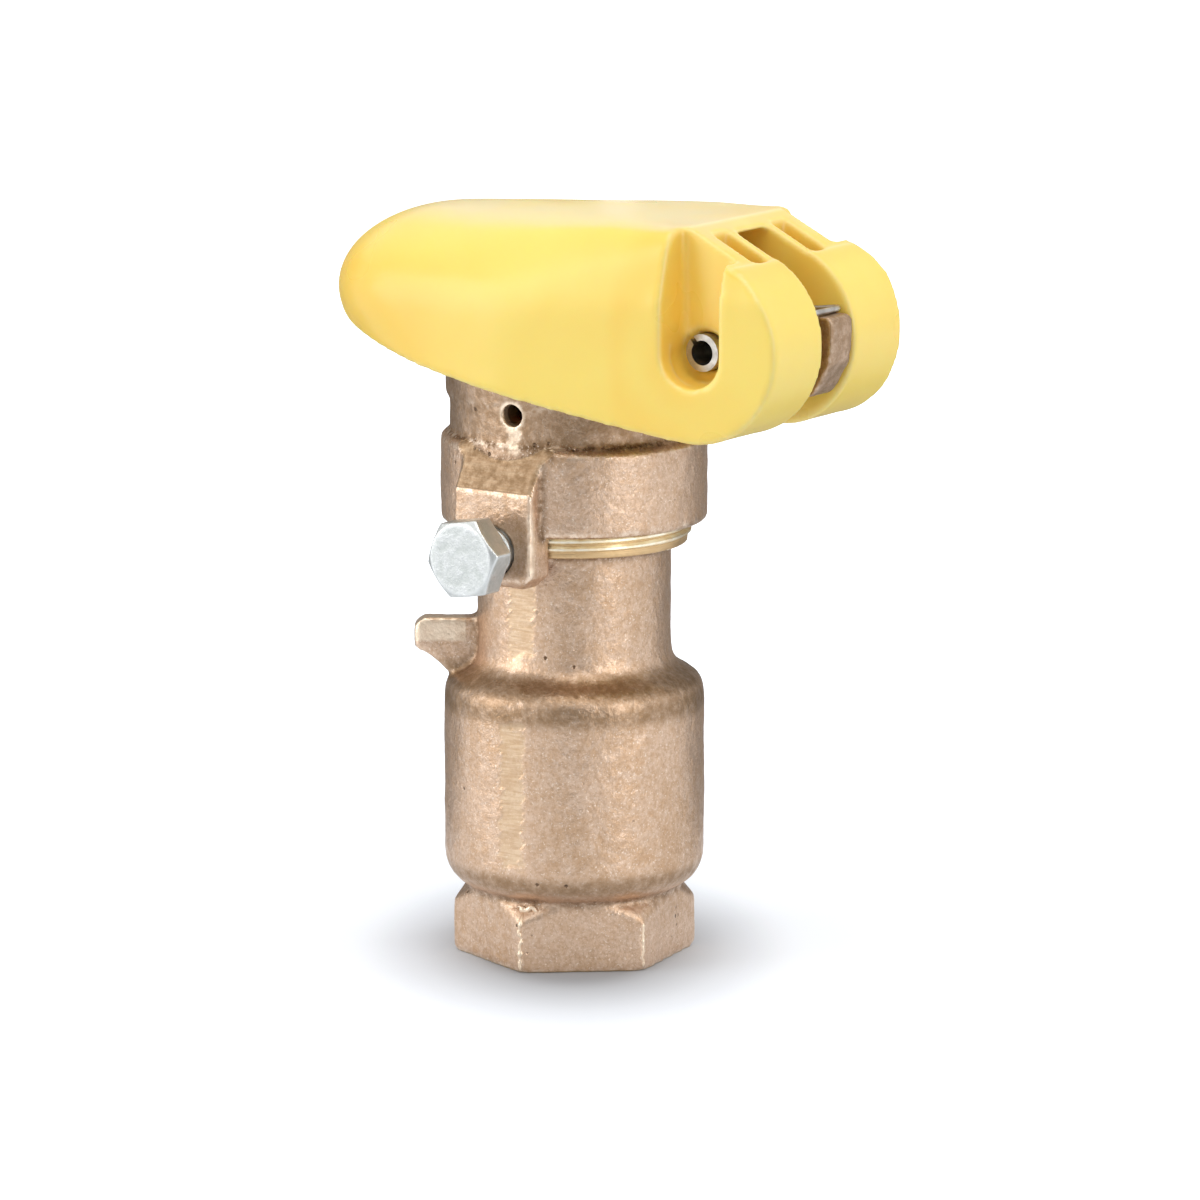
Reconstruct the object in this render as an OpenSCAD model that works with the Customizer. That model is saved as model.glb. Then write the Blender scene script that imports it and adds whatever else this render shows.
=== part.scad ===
// Quick coupling valve: a two-piece cast bronze body with a sprung lever-type cover.
// Millimetres, +Z up. The origin is the centre of the hexagonal base's lower face.
// The cover's nose points along -X, and its hinge pin lies along Y on the +X side.

/* [Hexagonal base] */
// Width across the flats of the wrench hexagon
hex_af = 41.3; // [38:0.1:46]
// Direction of one of the hexagon's corners, from -Y towards +X
hex_dir = 8.6; // [-30:0.1:30]
// Height of the hexagon's upright corners
hex_h = 10; // [8:0.1:13]
// Rise from the hexagon's corners to the groove under the bulb
groove_rise = 3.6; // [2:0.1:5]
// Radius of the groove under the bulb
groove_r = 20.3; // [19.5:0.1:20.4]
// Wall radius of the threaded inlet
inlet_r = 15.1; // [14.6:0.05:15.6]
// Length of the threaded inlet
inlet_len = 17; // [14:0.1:18]
// Chamfer at the inlet's mouth
inlet_edge = 0.8; // [0.4:0.1:1]

/* [Bulb and neck] */
// Outer radius of the bulb
bulb_r = 25.3; // [24.5:0.1:28]
// Height of the rounding below the bulb
bulb_rise = 6.4; // [5:0.1:8]
// Height of the bulb's straight wall
bulb_h = 31.5; // [29:0.1:40]
// Wall of the bulb
bulb_wall = 3.6; // [3:0.1:4.5]
// Height of the shoulder from the bulb to the neck
shoulder_h = 8.9; // [8:0.1:12]
// Outer radius of the neck
neck_r = 18.8; // [18.6:0.1:19.6]
// Length of the neck
neck_len = 20.9; // [18:0.1:30]
// Radius of the way for the key's tube
key_tube_way = 15.9; // [15.4:0.1:16.2]
// Reach of the cast side lug from the axis
side_lug_r = 31; // [29:0.1:36]
// Thickness of the cast side lug
side_lug_t = 5; // [4:0.1:7]
// Direction of the cast side lug, from -Y towards +X
side_lug_dir = -55.5; // [-80:0.5:-40]

/* [Screwed joint] */
// Outer radius of the lower body's screwed head
head_r = 22.7; // [22.3:0.05:23]
// Height of thread that shows below the collar
thread_show = 4.4; // [3:0.1:6]
// Length of thread inside the collar
thread_in = 10.2; // [8:0.1:11]
// Pitch of the ridges that show
thread_pitch = 2.2; // [1.8:0.1:2.6]
// Depth of the ridges that show
thread_depth = 1.0; // [0.6:0.05:1.3]
// Radial clearance of the screwed joint
thread_fit = 0.1; // [0.05:0.01:0.2]

/* [Upper body] */
// Outer radius of the collar
collar_r = 25.8; // [25.4:0.1:27]
// Height of the collar
collar_h = 17.3; // [16:0.1:19]
// Edge chamfer of the collar
collar_edge = 1.2; // [0.5:0.1:2]
// Outer radius of the spout ring
ring_r = 24; // [23.6:0.1:24.4]
// Height of the spout ring above the collar
ring_h = 18; // [17:0.1:20]
// Outer radius of the lip round the spout ring
lip_r = 24.8; // [24.3:0.1:25]
// Height of the lip
lip_h = 10.7; // [6:0.1:12]
// Radius of the key bore
key_bore_r = 17.3; // [16.8:0.1:17.8]
// Width of the slots that let the key's lugs in
key_slot_w = 9; // [7:0.1:11]
// Outer radius of the key lugs' track
key_track_r = 20.8; // [20:0.1:21.2]
// Height of the key lugs' track
key_track_h = 6.6; // [5.5:0.1:7.5]
// Drop of the track from its slot to its end
key_track_drop = 5; // [3:0.1:5.4]
// Turn of the track from its slot to its end
key_track_turn = 72; // [50:1:80]
// Number of steps in the track
key_track_steps = 6; // [4:1:9]
// Thickness of the web under the track
web_t = 3.6; // [3:0.1:4.4]
// Height of the drilled drain hole above the collar
drain_rise = 6; // [4:0.1:7]
// Diameter of the drilled drain hole in the spout ring
drain_d = 4.4; // [3:0.1:5]
// Direction of the drain hole, from -Y towards +X
drain_dir = 5; // [0:0.5:9]

/* [Lock boss and bolt] */
// Width of the boss that carries the lock bolt
boss_w = 17.8; // [16:0.1:20]
// Distance of the boss face from the axis
boss_face = 27.7; // [27:0.1:30]
// Height of the boss face
boss_h = 18.4; // [15:0.1:19]
// Distance of the boss's lower edge below the collar
boss_drop = 9.6; // [7:0.1:11]
// The slope over the boss is milled this much wider to each side
slope_side = 1.6; // [1:0.1:2.5]
// Height of the bolt's axis below the collar's lower edge
bolt_drop = 2.6; // [2:0.1:3.6]
// Shank diameter of the lock bolt
bolt_d = 9.5; // [8:0.1:10]
// Width across the flats of the bolt head
bolt_af = 14.3; // [13:0.1:15]
// Height of the bolt head
bolt_head_h = 6; // [5:0.1:7]
// Length of thread between the boss and the bolt head
bolt_show = 4.4; // [1:0.1:6]

/* [Hinge] */
// Distance of the hinge pin from the body's axis
pin_x = 41; // [40.5:0.1:43]
// Height of the hinge pin above the collar
pin_rise = 20.6; // [19.6:0.1:22]
// Outer diameter of the slotted hinge pin
pin_d = 7.1; // [6:0.1:7.4]
// Wall of the slotted hinge pin
pin_wall = 1.2; // [0.8:0.1:1.6]
// Width of the hinge pin's slit
pin_slit = 1; // [0.5:0.1:1.6]
// Length of the hinge pin
pin_len = 35; // [33:0.1:38]
// Width of the hinge arm
arm_w = 7.2; // [6:0.1:7.4]
// Reach of the hinge arm behind the pin
arm_reach = 19.9; // [17:0.1:20.2]
// Height of the hinge arm's flat top above the pin
arm_top = 6.5; // [5:0.1:6.6]
// Depth of the hinge arm below the pin
arm_under = 8.6; // [7:0.1:10]
// Running clearance of the cover on its pin
pin_fit = 0.08; // [0.03:0.01:0.1]
// Clearance of the hinge arm's pin hole
arm_fit = 0.02; // [0.01:0.01:0.05]

/* [Cover] */
// Height of the cover's flat top above the pin
cover_top = 23.3; // [22.8:0.1:25]
// Rounding of the cover's upper edges
shoulder_r = 4.5; // [3:0.1:6]
// Distance of the flat top's rear edge in front of the pin
top_rear = 3.9; // [3:0.1:6]
// Largest outer radius of the cover over the spout
skirt_r = 28.3; // [27.6:0.1:30]
// Distance of the nose's centre from the body's axis
nose_x = 24; // [20:0.1:30]
// Radius of the nose
nose_r = 26.2; // [24:0.1:27.4]
// Height of the nose's widest level above the pin
nose_rise = 5.6; // [4:0.1:8]
// Half height of the nose
nose_half_h = 16.4; // [14:0.1:17]
// Wall of the cover
cover_wall = 2.6; // [2:0.1:3]
// Thickness of the cover's roof
roof_t = 3.2; // [2.4:0.1:4]
// Half width over the two hinge ears
ear_half = 22.3; // [21.5:0.1:23.5]
// Radius of the hinge ears
ear_r = 17.7; // [17:0.1:18]
// Distance of the ears' centre behind the pin
ear_back = 1.6; // [1:0.1:2.2]
// Height of the ears' centre above the pin
ear_rise = 1.2; // [0.8:0.1:1.6]
// Half width of the gap between the ears
gap_half = 5.4; // [5:0.1:5.8]
// Fall of the ears' sloping top for each millimetre backwards
slope_fall = 0.49; // [0.42:0.01:0.56]
// Distance from the ears' centre to the end of the sloping top
slope_len = 7.4; // [5:0.1:7.5]
// Depth of the pockets in the ears' outer faces
pocket_deep = 5.6; // [4.5:0.1:6]
// Width of the pockets
pocket_w = 12; // [11:0.1:13]
// Distance of the pockets' middle behind the pin
pocket_back = 1.3; // [0:0.1:2]
// Diameter of the counterbore at the pocket's floor
counterbore_d = 10.3; // [9:0.1:11]
// Depth of the counterbore
counterbore_deep = 1.2; // [0.6:0.1:2]
// Width of the slots for the spring coils
coil_slot_w = 4.8; // [4.4:0.1:5.2]
// Wall between the gap and a coil slot
coil_slot_wall = 2.2; // [1.6:0.1:2.6]
// Opening angle of the cover that the stop leaves free
open_angle = 95; // [80:1:98]

/* [Cover spring] */
// Wire diameter of the cover spring
cover_wire_d = 1.4; // [1:0.1:1.6]
// Mean radius of the cover spring's coils
cover_coil_r = 5.6; // [5.2:0.1:6.2]
// Turns in each coil
cover_coil_turns = 2.5; // [1.5:1:2.5]
// Distance of the spring's bridge behind the pin
bridge_back = 16.6; // [15:0.1:17]
// Reach of the spring's free ends from the pin
spring_leg = 9.2; // [8:0.1:10]

/* [Poppet and seals] */
// Radius of the seat's opening
seat_r = 12.4; // [11.5:0.1:12.8]
// Width of the seat's raised ring
seat_ring_w = 1.4; // [1:0.1:1.8]
// Height of the web that holds the seat
seat_t = 5.4; // [4:0.1:7]
// Gap round the poppet where it drops in through the inlet
poppet_gap = 0.4; // [0.3:0.05:0.9]
// Thickness of the poppet's plate under its washer
poppet_t = 2; // [1.5:0.1:3]
// Rim of the poppet round its washer
poppet_rim = 0.7; // [0.5:0.05:0.8]
// Height of the poppet's rim
poppet_rim_h = 1.8; // [1:0.1:2.2]
// Radius of the poppet's stem
stem_r = 4; // [3:0.1:4.6]
// Length of the stem below the plate
stem_len = 26; // [24:0.1:30]
// Thickness of the rubber disc washer
washer_t = 3; // [2.4:0.1:4]
// Thickness of the washer's clamping plate
plate_t = 1.4; // [1:0.1:2]
// Radius of the washer's clamping plate
plate_r = 9.6; // [8:0.1:10.5]
// Width across the flats of the disc nut
disc_nut_af = 12; // [10:0.1:14]
// Height of the disc nut's hexagon
disc_nut_h = 4; // [3:0.1:6]
// Downward travel of the poppet
poppet_travel = 10; // [8:0.1:11]
// Wire diameter of the valve spring
valve_wire_d = 1.7; // [1.2:0.1:2]
// Mean radius of the valve spring
valve_coil_r = 10.4; // [9:0.1:11]
// Turns of the valve spring
valve_turns = 5; // [4:0.5:5]
// Thickness of the spring guide
guide_t = 3; // [2.4:0.1:4]
// Number of arms of the spring guide
guide_arms = 3; // [3:1:5]
// Width of the guide's arms
guide_arm_w = 4; // [3:0.1:5]
// Width of the guide's rim
guide_rim = 2.6; // [2:0.1:3]
// Wall of the guide's hub
guide_hub_wall = 3; // [2:0.1:3.4]
// Thickness of the snap ring
snap_t = 1.3; // [1:0.1:1.6]
// Depth of the snap ring's groove
snap_deep = 1; // [0.8:0.05:1.3]
// Height of the key seal
seal_h = 5.4; // [4:0.1:6]
// Width of the key seal, from its bore to its rim
seal_w = 3.8; // [3.4:0.1:4]
// The key seal's bore is this much tighter than the way for the tube
seal_grip = 0.2; // [0.1:0.05:0.4]
// Depth of the slit between the key seal's lips
seal_slit = 3; // [2:0.1:3.4]
// Thickness of the washer under the key seal
seal_washer_t = 1.2; // [0.8:0.1:1.6]
// Section diameter of the body's O-ring
o_ring_d = 1.9; // [1.5:0.1:2.2]
// Clearance between parts that slide or drop in
slide_fit = 0.2; // [0.1:0.05:0.3]

/* [Hidden] */
$fn = 96;

bronze = [0.76, 0.60, 0.46];
brass = [0.80, 0.66, 0.38];
yellow = [0.98, 0.85, 0.40];
steel = [0.80, 0.81, 0.82];
rubber = [0.12, 0.12, 0.13];

// A cut reaches this far past the face that it leaves
past = 1;

// Levels of the body, from the base up
groove_z = hex_h + groove_rise;
bulb_z = groove_z + bulb_rise;
shoulder_z = bulb_z + bulb_h;
neck_z = shoulder_z + shoulder_h;
head_z = neck_z + neck_len;
collar_z = head_z + thread_show;
head_top = collar_z + thread_in;
ring_z = collar_z + collar_h;
ring_top = ring_z + ring_h;
pin_z = ring_z + pin_rise;

// The track, web and seal stack inside the screwed joint
joint_gap = 0.3;
web_z = head_top + joint_gap;
track_z = web_z + web_t;
track_floor = track_z + 0.4;
seal_z = head_top - seal_h;
washer_z = seal_z - seal_washer_t;
seal_bore = key_tube_way - seal_grip;
seal_r = seal_bore + seal_w;
o_ring_r = (seal_r + head_r) / 2;

// The poppet's levels, hung from the seat
seat_z = shoulder_z - 1.5;
seat_top = seat_z + seat_t;
washer_low = seat_z - washer_t;
poppet_r = inlet_r - poppet_gap;
plate_low = washer_low - poppet_t;
nut_low = seat_z + plate_t;
chamber_r = bulb_r - bulb_wall;
chamber_z = bulb_z + bulb_wall;
snap_z = inlet_len + 1.2;
guide_z = snap_z + snap_t;
guide_r = inlet_r - slide_fit;
guide_top = guide_z + guide_t;

// Places on the cover, seen from the side
arm_z = pin_z + arm_top;
top_z = pin_z + cover_top;
top_edge_x = pin_x - top_rear;
ear_x = pin_x + ear_back;
ear_z = pin_z + ear_rise;
pocket_y = ear_half - pocket_deep;
slot_y0 = gap_half + coil_slot_wall;
slot_y1 = slot_y0 + coil_slot_w;
hub_r = pin_x - lip_r + 0.1;
arm_tip = arm_reach + pin_x;
arm_round = 1.2;
arm_sweep = norm([arm_reach - arm_round, arm_top - arm_round]) + arm_round;

// Points on an arc in a plane, from angle a0 to angle a1
function arc(c, r, a0, a1, n) =
    [for (i = [0 : n]) c + r * [cos(a0 + (a1 - a0) * i / n), sin(a0 + (a1 - a0) * i / n)]];

// Height of the cover's lower rim at a distance from the body's axis
rim_low = pin_z - 16.6;
function rim_at(x) =
    let (d = max(0, ear_x - x))
    rim_low + 0.13 * d + 0.0006 * d * d;

// A tube swept along a path, as one closed mesh. Each ring's axes are carried
// from the ring before, so that the tube doesn't twist.
function unit(v) = v / norm(v);
function tangent(p, i) =
    unit(p[min(i + 1, len(p) - 1)] - p[max(i - 1, 0)]);
function carried(u, t) = unit(u - (u * t) * t);
module sweep(p, r, sides, first) {
    n = len(p);
    us = [for (i = 0, u = carried(first, tangent(p, 0)); i < n;
               i = i + 1, u = i < n ? carried(u, tangent(p, i)) : u) u];
    pts = [for (i = [0 : n - 1])
        let (t = tangent(p, i), u = us[i], v = cross(t, u))
        for (k = [0 : sides - 1])
            p[i] + r * (cos(360 * k / sides) * u + sin(360 * k / sides) * v)];
    sides_f = [for (i = [0 : n - 2]) for (k = [0 : sides - 1])
        let (a = i * sides + k, b = i * sides + (k + 1) % sides)
        each [[a, b, b + sides], [a, b + sides, a + sides]]];
    cap0 = [for (k = [1 : sides - 2]) [0, k + 1, k]];
    last = (n - 1) * sides;
    cap1 = [for (k = [1 : sides - 2]) [last, last + k, last + k + 1]];
    polyhedron(points = pts, faces = [for (f = concat(sides_f, cap0, cap1)) [f[2], f[1], f[0]]]);
}

// A bar of the given outline in the XZ plane, centred on Y = 0
module side_bar(points, w) {
    rotate([90, 0, 0])
        translate([0, 0, -w / 2])
            linear_extrude(w)
                polygon(points);
}

// A cylinder along Y, centred on Y = 0, at a place in the XZ plane
module cross_pin(x, z, r, w) {
    translate([x, 0, z])
        rotate([90, 0, 0])
            translate([0, 0, -w / 2])
                cylinder(r = r, h = w);
}

// Outline of the lower body, from the groove to the head, without the bore
function lower_outline() = concat(
    [[0, hex_h / 2], [groove_r, hex_h / 2], [groove_r, groove_z + 0.3]],
    arc([bulb_r - bulb_rise, bulb_z], bulb_rise, -60, 0, 6),
    [[bulb_r, shoulder_z]],
    arc([bulb_r - 5, shoulder_z], 5, 12, 48, 4),
    arc([neck_r + 4.4, neck_z], 4.4, 236, 180, 4),
    [[neck_r, head_z], [head_r - thread_depth, head_z]],
    [for (i = [0 : 1]) each [
        [head_r, head_z + 0.35 + i * thread_pitch],
        [head_r, head_z + 0.85 + i * thread_pitch],
        [head_r - thread_depth, head_z + 1.45 + i * thread_pitch],
        [head_r - thread_depth, head_z + 1.9 + i * thread_pitch]]],
    [[head_r, collar_z], [head_r, head_top - 0.8], [head_r - 0.8, head_top], [0, head_top]]);

// Outline of the way through the lower body
function lower_way() = [
    [0, -past], [inlet_r + inlet_edge + past, -past], [inlet_r, inlet_edge],
    [inlet_r, snap_z], [inlet_r + snap_deep, snap_z],
    [inlet_r + snap_deep, guide_z], [inlet_r, guide_z],
    [inlet_r, bulb_z + 0.6], [chamber_r, chamber_z + 3],
    [chamber_r, shoulder_z - 5.5], [chamber_r - 3.2, seat_z],
    [seat_r + seat_ring_w + 2.2, seat_z + 0.9],
    [seat_r + seat_ring_w, seat_z + 0.9], [seat_r + seat_ring_w, seat_z],
    [seat_r, seat_z], [seat_r, seat_top], [key_tube_way + 0.5, seat_top + 2.4],
    [key_tube_way + 0.5, washer_z],
    [seal_r + slide_fit / 2, washer_z], [seal_r + slide_fit / 2, head_top + past],
    [0, head_top + past]];

module lower_body() {
    corner_r = hex_af / sqrt(3);
    corner_edge = 1;
    cone_fall = groove_rise / (corner_r - groove_r);
    color(bronze)
    difference() {
        union() {
            intersection() {
                rotate([0, 0, hex_dir - 90])
                    cylinder(r = corner_r, h = groove_z + 2 * past, $fn = 6);
                rotate_extrude()
                    polygon([[0, 0], [corner_r - corner_edge, 0], [corner_r + past, corner_edge + past],
                             [corner_r + past, hex_h - past * cone_fall],
                             [groove_r - past, groove_z + past * cone_fall],
                             [0, groove_z + past * cone_fall]]);
            }
            rotate_extrude()
                polygon(lower_outline());
            rotate([0, 0, side_lug_dir])
                translate([-side_lug_t / 2, -side_lug_r, neck_z - 4.4])
                    rotate([90, 0, 90])
                        linear_extrude(side_lug_t)
                            polygon([[0, 4.4], [0, 8.8], [1.8, 10.2], [side_lug_r - neck_r + 2, 10.2],
                                     [side_lug_r - neck_r + 2, -2], [side_lug_r - bulb_r + 0.6, -0.4],
                                     [3.4, 2.6]]);
        }
        rotate_extrude()
            polygon(lower_way());
    }
}

// The key lugs' way: a slot across the bore from the top, and on each side a track
// that steps down as it turns. All of it ends at one outer wall.
module key_way() {
    step_turn = key_track_turn / key_track_steps;
    step_drop = key_track_drop / (key_track_steps - 1);
    first_turn = asin(key_slot_w / 2 / key_track_r) + 3.5;
    reach = key_track_r + 5;
    intersection() {
        cylinder(r = key_track_r, h = ring_top + past);
        union() {
            translate([-reach, -key_slot_w / 2, track_floor + key_track_drop])
                cube([2 * reach, key_slot_w, ring_top]);
            for (side = [0, 180], i = [0 : key_track_steps - 1])
                let (a0 = i == 0 ? 0 : first_turn + (i - 1) * step_turn,
                     a1 = first_turn + i * step_turn + 0.6,
                     mid = (a0 + a1) / 2)
                translate([0, 0, track_floor + key_track_drop - i * step_drop])
                    rotate([0, 0, side])
                        linear_extrude(key_track_h)
                            polygon([[0, 0], reach * [cos(a0), sin(a0)],
                                     reach * [cos(mid), sin(mid)], reach * [cos(a1), sin(a1)]]);
        }
    }
}

module hinge_arm() {
    side_bar(concat(
        [[ring_r - 3, ring_z + 1.6], [ring_r + 6, ring_z + 4.4],
         [pin_x + 11.6, pin_z - arm_under - 0.8]],
        arc([pin_x + 14, pin_z - arm_under + 2.6], 3, -80, -30, 3),
        [[arm_tip - 0.4, pin_z - 2.4], [arm_tip, pin_z + 0.8]],
        arc([arm_tip - arm_round, arm_z - arm_round], arm_round, 0, 90, 4),
        [[pin_x - 7, arm_z], [pin_x - 12, arm_z - 4.6], [ring_r - 3, ring_top - 1.2]]),
        arm_w);
}

module lock_boss() {
    low = collar_z - boss_drop;
    intersection() {
        translate([-boss_w / 2, -boss_face, low])
            cube([boss_w, boss_face, ring_z - low]);
        rotate([90, 0, 90])
            translate([0, 0, -boss_w / 2])
                linear_extrude(boss_w)
                    polygon([[-boss_face, low + 1.6], [-boss_face + 1.6, low], [0, low],
                             [0, ring_z], [-boss_face, ring_z]]);
        rotate([90, 0, 0])
            linear_extrude(boss_face)
                polygon([[-boss_w / 2, low + 2.4], [-boss_w / 2 + 2.4, low],
                         [boss_w / 2 - 2.4, low], [boss_w / 2, low + 2.4],
                         [boss_w / 2, ring_z], [-boss_w / 2, ring_z]]);
    }
}

// What is milled off the boss and the collar's edge, up to the foot of the ring
module boss_slope() {
    flat_top = collar_z - boss_drop + boss_h;
    inner_y = ring_r - 1;
    rise = (ring_z - 0.4 - flat_top) / (boss_face - inner_y);
    w = boss_w + 2 * slope_side;
    difference() {
        rotate([90, 0, 90])
            translate([0, 0, -w / 2])
                linear_extrude(w)
                    polygon([[-boss_face - past, flat_top - past * rise],
                             [-inner_y, ring_z - 0.4], [-inner_y, ring_z + past],
                             [-boss_face - past, ring_z + past]]);
        cylinder(r = ring_r + 0.3, h = ring_top);
    }
}

module upper_body() {
    color(bronze)
    difference() {
        union() {
            rotate_extrude()
                polygon([[0, collar_z], [collar_r - 0.6, collar_z], [collar_r, collar_z + 0.8],
                         [collar_r, ring_z - collar_edge], [collar_r - collar_edge, ring_z],
                         [ring_r, ring_z], [ring_r, ring_top - lip_h - 0.6],
                         [lip_r, ring_top - lip_h], [lip_r, ring_top - 1],
                         [lip_r - 1, ring_top], [0, ring_top]]);
            lock_boss();
            hinge_arm();
        }
        boss_slope();
        // Screwed joint, with the groove for the O-ring over it
        translate([0, 0, collar_z - boss_drop - past])
            cylinder(r = head_r + thread_fit, h = web_z - collar_z + boss_drop + past);
        rotate_extrude()
            translate([o_ring_r - o_ring_d / 2 - 0.1, web_z - past])
                square([o_ring_d + 0.2, o_ring_d - joint_gap + past]);
        translate([0, 0, web_z - past])
            cylinder(r = key_tube_way + 0.5, h = web_t + 2 * past);
        translate([0, 0, track_z])
            cylinder(r = key_bore_r, h = ring_top - track_z + past);
        translate([0, 0, ring_top - 1])
            cylinder(r1 = key_bore_r, r2 = key_bore_r + 1 + past, h = 1 + past);
        key_way();
        rotate([90, 0, drain_dir])
            translate([0, 0, key_bore_r - 1])
                translate([0, ring_z + drain_rise, 0])
                    cylinder(d = drain_d, h = lip_r);
        translate([0, 0, collar_z - bolt_drop])
            rotate([90, 0, 0])
                translate([0, 0, neck_r])
                    cylinder(d = bolt_d + 2 * arm_fit, h = boss_face);
        cross_pin(pin_x, pin_z, pin_d / 2 + arm_fit, arm_w + 2 * past);
    }
}

module lock_bolt() {
    head_y = boss_face + bolt_show;
    corner_r = bolt_af / sqrt(3);
    color(steel)
    translate([0, 0, collar_z - bolt_drop])
        rotate([90, 0, 0])
            union() {
                translate([0, 0, head_r + 0.3])
                    cylinder(d1 = bolt_d - 2, d2 = bolt_d, h = 1);
                translate([0, 0, head_r + 1.3])
                    cylinder(d = bolt_d, h = head_y - head_r - 1.3);
                translate([0, 0, head_y])
                    cylinder(d = bolt_af - 0.6, h = 0.5);
                intersection() {
                    translate([0, 0, head_y + 0.5])
                        rotate([0, 0, 9])
                            cylinder(r = corner_r, h = bolt_head_h - 0.5, $fn = 6);
                    rotate_extrude()
                        polygon([[0, head_y], [corner_r, head_y],
                                 [corner_r, head_y + bolt_head_h - 0.9],
                                 [bolt_af / 2 - 0.3, head_y + bolt_head_h], [0, head_y + bolt_head_h]]);
                }
            }
}

// The cover's outer form, or its hollow when the walls are taken off it
module cover_form(side, roof) {
    mid_z = pin_z + nose_rise;
    round_r = shoulder_r - min(side, shoulder_r - 1);
    low = pin_z - 18;
    hull() {
        translate([-nose_x, 0, mid_z])
            scale([1, 1, (nose_half_h - roof) / (nose_r - side)])
                sphere(r = nose_r - side, $fn = 56);
        translate([0, 0, mid_z])
            scale([1, 1, (cover_top - nose_rise - roof) / (skirt_r - side)])
                sphere(r = skirt_r - side, $fn = 56);
        translate([0, 0, low])
            cylinder(r = skirt_r - side, h = mid_z - low, $fn = 56);
        for (s = [-1, 1])
            translate([top_edge_x - 16, s * (ear_half - side - round_r), top_z - roof - round_r])
                rotate([0, 90, 0])
                    cylinder(r = round_r, h = 16 - roof, $fn = 32);
        translate([top_edge_x - 4, -ear_half + side, low])
            cube([ear_r + ear_back + top_rear + 5 - roof, 2 * (ear_half - side), 30]);
    }
}

// The cover's outline from the side: sloping ear tops, round ears and the rising rim
function slope_at(x) = top_z - slope_fall * (x - top_edge_x);
function cover_outline() = concat(
    [[-nose_x - nose_r - 4, top_z + 1], [top_edge_x, top_z + 1], [top_edge_x, top_z],
     [ear_x + slope_len, slope_at(ear_x + slope_len)]],
    arc([ear_x, ear_z], ear_r, 65, -90, 26),
    [for (x = [ear_x - 6 : -8 : -nose_x - nose_r - 4]) [x, rim_at(x)]],
    [[-nose_x - nose_r - 4, rim_at(-nose_x - nose_r)]]);

// The gap between the ears lets the hinge arm swing through under the roof, up to the stop
module arm_gap() {
    reach = arm_sweep + 0.3;
    stop = arm_top + cover_wire_d + 0.35;
    w = 2 * gap_half;
    swing = open_angle;
    front = [cos(swing), sin(swing)];
    side = [-sin(swing), cos(swing)];
    p = [pin_x, pin_z];
    // The roof ends here, where the swinging arm leaves it thick enough
    lip_x = pin_x - 0.4;
    intersection() {
        cross_pin(pin_x, pin_z, reach, w);
        side_bar([p + stop * side - 30 * front, p + stop * side + 30 * front,
                  p + [40, 30], p + [40, -30]], w);
    }
    side_bar([[lip_x, pin_z], [lip_x, top_z + past], [ear_x + ear_r + 4, top_z + past],
              [ear_x + ear_r + 4, pin_z - 24], [pin_x, pin_z - 24]], w);
    side_bar([[0, arm_z + 0.5], [pin_x, arm_z + 0.5], [pin_x, pin_z - 24], [0, pin_z - 24]], w);
}

module coil_slot() {
    x0 = pin_x - 1.2;
    x1 = pin_x + 8.2;
    leg_low = cover_coil_r + cover_wire_d + 0.3;
    translate([0, slot_y0 + coil_slot_w / 2, 0]) {
        cross_pin(pin_x, pin_z, cover_coil_r + cover_wire_d / 2 + 0.8, coil_slot_w);
        intersection() {
            cross_pin(pin_x, pin_z, spring_leg + 0.8, coil_slot_w);
            side_bar([[x0 - 2, pin_z - leg_low], [x0 - 2, top_z], [x1 + 8, top_z],
                      [x1 + 8, pin_z - leg_low]], coil_slot_w);
        }
        side_bar([[x0, pin_z], [x0, top_z + past], [x1, top_z + past], [x1, pin_z]], coil_slot_w);
    }
    // The spring's wire passes from its coil to the gap beside the arm
    translate([0, gap_half + coil_slot_wall / 2, 0])
        cross_pin(pin_x, pin_z, cover_coil_r + cover_wire_d / 2 + 1.3, coil_slot_wall + 0.2);
}

module ear_pocket() {
    round_r = pocket_w / 2;
    centre = pin_x + pocket_back;
    translate([0, -ear_half - 10, 0])
        rotate([-90, 0, 0])
            mirror([0, 1, 0])
                linear_extrude(10 + pocket_deep)
                    union() {
                        translate([centre, pin_z])
                            circle(r = round_r);
                        translate([centre - round_r, pin_z])
                            square([pocket_w, cover_top + past]);
                    }
    translate([pin_x, -pocket_y + counterbore_deep, pin_z - 0.6])
        rotate([90, 0, 0])
            cylinder(d = counterbore_d, h = pocket_deep);
}

module cover() {
    color(yellow)
    difference() {
        intersection() {
            cover_form(0, 0);
            side_bar(cover_outline(), 80);
        }
        // Hollow over the spout, left solid round the hinge
        difference() {
            cover_form(cover_wall, roof_t);
            cross_pin(pin_x, pin_z, hub_r, 80);
            translate([pin_x - 9, -40, pin_z - 11])
                cube([60, 80, 80]);
            translate([pin_x - 3, -40, pin_z - 30])
                cube([60, 80, 80]);
        }
        arm_gap();
        for (s = [0, 1])
            mirror([0, s, 0]) {
                coil_slot();
                ear_pocket();
            }
        cross_pin(pin_x, pin_z, pin_d / 2 + pin_fit, 2 * ear_half + 2);
    }
    // Ribs under the roof that close on the spout's lip
    color(yellow)
    cover_ribs();
}

module cover_ribs() {
    rib_t = 2;
    low = ring_top + 0.3;
    for (x = [-18, -4, 10])
        intersection() {
            translate([x - rib_t / 2, -40, low])
                cube([rib_t, 80, top_z - low - roof_t + 0.4]);
            cover_form(cover_wall - 0.4, roof_t - 0.4);
        }
}

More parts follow.
